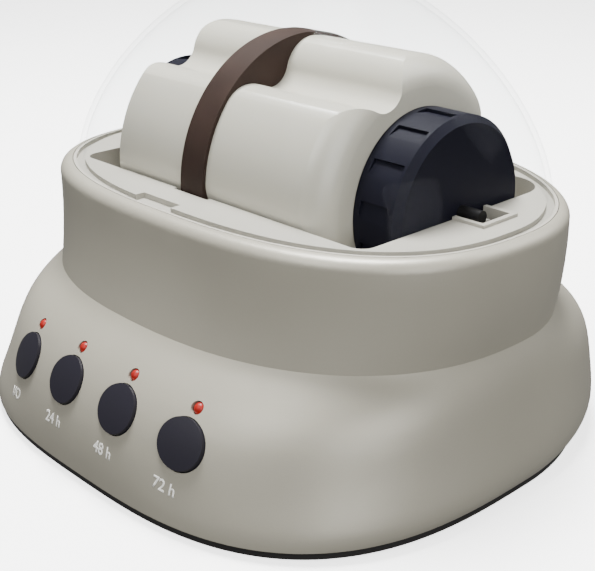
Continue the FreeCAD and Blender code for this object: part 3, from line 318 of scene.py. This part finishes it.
BUTTONS = ("power", "one", "two", "three")
key_plastic = moulded("dark button plastic", tint(34, 32, 40), tint(26, 25, 32),
                      roughness=0.42, grain=0.0007, depth=0.000008, Specular_IOR_Level=0.25)
for word in BUTTONS:
    key_plastic.on(smoothed(word + "_button", 40))

lamps = smoothed("status_lamps", 40)
lens = Finish("red lamp lens")
clouding = lens.noise(0.003)
lens.surface(Base_Color=lens.blend(clouding, tint(150, 26, 18), tint(120, 18, 14)),
             Roughness=0.4, Specular_IOR_Level=0.3,
             Emission_Color=tint(170, 24, 14), Emission_Strength=0.15)
lens.on(lamps)

# ------------------------------------------------------------------ printed marks
# White pad-printed marks under the buttons, the power sign I/O and running times in hours.
# Each is a thin film of ink that follows the skirt's curve.

PANEL_TILT = radians(34)
OUT = Vector((0, -cos(PANEL_TILT), sin(PANEL_TILT)))
UP = Vector((0, sin(PANEL_TILT), cos(PANEL_TILT)))
ACROSS = Vector((1, 0, 0))
MARK_DROP = 0.0165
MARK_SHIFT = 0.0025
MARK_HEIGHT = 0.0042
CAPITAL_SHARE = 0.72
STROKE_SPREAD = 0.00009
INK_THICK = 0.00012
INK_LIFT = 0.00003
PROBE_START = 0.03
skin_mesh = bmesh.new()
skin_mesh.from_mesh(housing.data)
skirt = BVHTree.FromBMesh(skin_mesh)
skin_mesh.free()
ink = moulded("white ink", tint(243, 242, 236), tint(230, 229, 222),
              roughness=0.5, grain=0.0004, depth=0.00001)


def printed(name, mesh, centre):
    """Lays a flat mesh, drawn about its middle, on the skirt below centre as ink."""
    bmesh.ops.triangulate(mesh, faces=mesh.faces)
    bmesh.ops.subdivide_edges(mesh, edges=mesh.edges, cuts=2, use_grid_fill=True)
    start = centre + OUT * PROBE_START
    for vertex in mesh.verts:
        probe = start + ACROSS * vertex.co.x + UP * vertex.co.y
        touch = skirt.ray_cast(probe, -OUT)[0]
        vertex.co = touch + OUT * INK_LIFT
    bmesh.ops.recalc_face_normals(mesh, faces=mesh.faces)
    piece = in_scene(name, mesh)
    film = piece.modifiers.new("film", "SOLIDIFY")
    film.thickness = INK_THICK
    film.offset = 0
    ink.on(piece)
    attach(piece, "base")


for word, letters in zip(BUTTONS, ("I/O", "24 h", "48 h", "72 h")):
    low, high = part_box(word + "_button")
    centre = (low + high) / 2 - UP * MARK_DROP - ACROSS * MARK_SHIFT
    lettering = bpy.data.curves.new(word + "_text", "FONT")
    lettering.body = letters
    lettering.size = MARK_HEIGHT / CAPITAL_SHARE
    lettering.align_x = "CENTER"
    lettering.align_y = "CENTER"
    lettering.offset = STROKE_SPREAD
    holder = bpy.data.objects.new(word + "_text", lettering)
    bpy.context.scene.collection.objects.link(holder)
    bpy.context.view_layer.update()
    flat = bmesh.new()
    flat.from_mesh(bpy.data.meshes.new_from_object(holder))
    bpy.data.objects.remove(holder)
    printed(word + "_mark", flat, centre)

# ------------------------------------------------------------------ dome
# A vacuum-formed acrylic dome, 2 mm thick and water-clear, that stands in the deck's groove
# and keeps dust and noise in. Its skin turns grey only where it is seen edge-on.

EDGE_SHARE = 0.55
EDGE_POWER = 5
FACE_SHARE = 0.0015
dome = smoothed("clear_dome", 40)
clear = Finish("clear acrylic")
edge_on = clear.node("ShaderNodeLayerWeight", None, {"Blend": 0.25}, "Facing")
air = clear.node("ShaderNodeBsdfTransparent", None, {"Color": (0.97, 0.975, 0.975, 1)})
gloss = clear.node("ShaderNodeBsdfPrincipled", None,
                   {"Base Color": tint(235, 237, 238), "Metallic": 1.0, "Roughness": 0.08})
share = edge_on ** EDGE_POWER * EDGE_SHARE + FACE_SHARE
clear.ends_in(clear.node("ShaderNodeMixShader", None, {0: share, 1: air, 2: gloss}))
clear.on(dome)

# ------------------------------------------------------------------ setting
# A pale round floor whose rim curves up into a wall, so that no edge shows. It glows a little
# and throws no light on the object. Four soft boxes stand above it, and a low even sky.

SWEEP_RADIUS = 6.0
SWEEP_HEIGHT = 5.0
SWEEP_CURVE = 2.0
FLOOR_GLOW = 2.4
floor_mesh = bmesh.new()
bmesh.ops.create_circle(floor_mesh, cap_ends=True, segments=96, radius=SWEEP_RADIUS)
rim = [edge for edge in floor_mesh.edges if len(edge.link_faces) == 1]
wall = bmesh.ops.extrude_edge_only(floor_mesh, edges=rim)["geom"]
bmesh.ops.translate(floor_mesh, vec=(0, 0, SWEEP_HEIGHT),
                    verts=[part for part in wall if isinstance(part, bmesh.types.BMVert)])
bmesh.ops.bevel(floor_mesh, geom=rim, offset=SWEEP_CURVE, segments=12, profile=0.5,
                affect="EDGES", material=-1)
bmesh.ops.recalc_face_normals(floor_mesh, faces=floor_mesh.faces)
bmesh.ops.reverse_faces(floor_mesh, faces=floor_mesh.faces)
for face in floor_mesh.faces:
    face.smooth = True
floor = in_scene("floor", floor_mesh)
plain = Finish("pale floor")
paper = plain.blend(plain.noise(0.5), tint(250, 250, 249), tint(253, 253, 252))
plain.surface(Base_Color=paper, Roughness=0.9,
              Emission_Color=(1, 1, 1, 1), Emission_Strength=FLOOR_GLOW)
plain.on(floor)
floor.visible_diffuse = False
floor.visible_glossy = False

SKY_STRENGTH = 0.22
world = bpy.data.worlds.new("studio")
bpy.context.scene.world = world
world.use_nodes = True
backdrop = world.node_tree.nodes["Background"]
backdrop.inputs["Color"].default_value = (1.0, 1.0, 1.0, 1)
backdrop.inputs["Strength"].default_value = SKY_STRENGTH

# name, place, side in metres, watts
SOFT_BOXES = (
    ("overhead", (-0.22, 0.12, 1.15), 0.45, 50.0),
    ("back", (0.5, 0.9, 0.9), 0.7, 7.0),
    ("front", (0.1, -1.1, 1.0), 0.8, 11.0),
    ("right", (1.15, -0.45, 0.5), 0.9, 13.0),
)
LIT_POINT = Vector((0, 0, 0.08))
for name, place, side, watts in SOFT_BOXES:
    light = bpy.data.lights.new(name, "AREA")
    light.shape = "SQUARE"
    light.size = side
    light.energy = watts
    soft_box = bpy.data.objects.new(name, light)
    soft_box.location = place
    soft_box.rotation_euler = (LIT_POINT - Vector(place)).to_track_quat("-Z", "Y").to_euler()
    bpy.context.scene.collection.objects.link(soft_box)

CAMERA_PLACE = Vector((0.32145, -0.3107, 0.22929))
CAMERA_WAY = Vector((-0.66781, 0.64136, -0.37774))
LENS_LENGTH = 69.08
SENSOR_WIDTH = 36.0
camera_data = bpy.data.cameras.new("camera")
camera_data.sensor_fit = "HORIZONTAL"
camera_data.sensor_width = SENSOR_WIDTH
camera_data.lens = LENS_LENGTH
camera_data.clip_start = 0.01
camera = bpy.data.objects.new("camera", camera_data)
camera.location = CAMERA_PLACE
camera.rotation_euler = CAMERA_WAY.to_track_quat("-Z", "Y").to_euler()
bpy.context.scene.collection.objects.link(camera)
bpy.context.scene.camera = camera
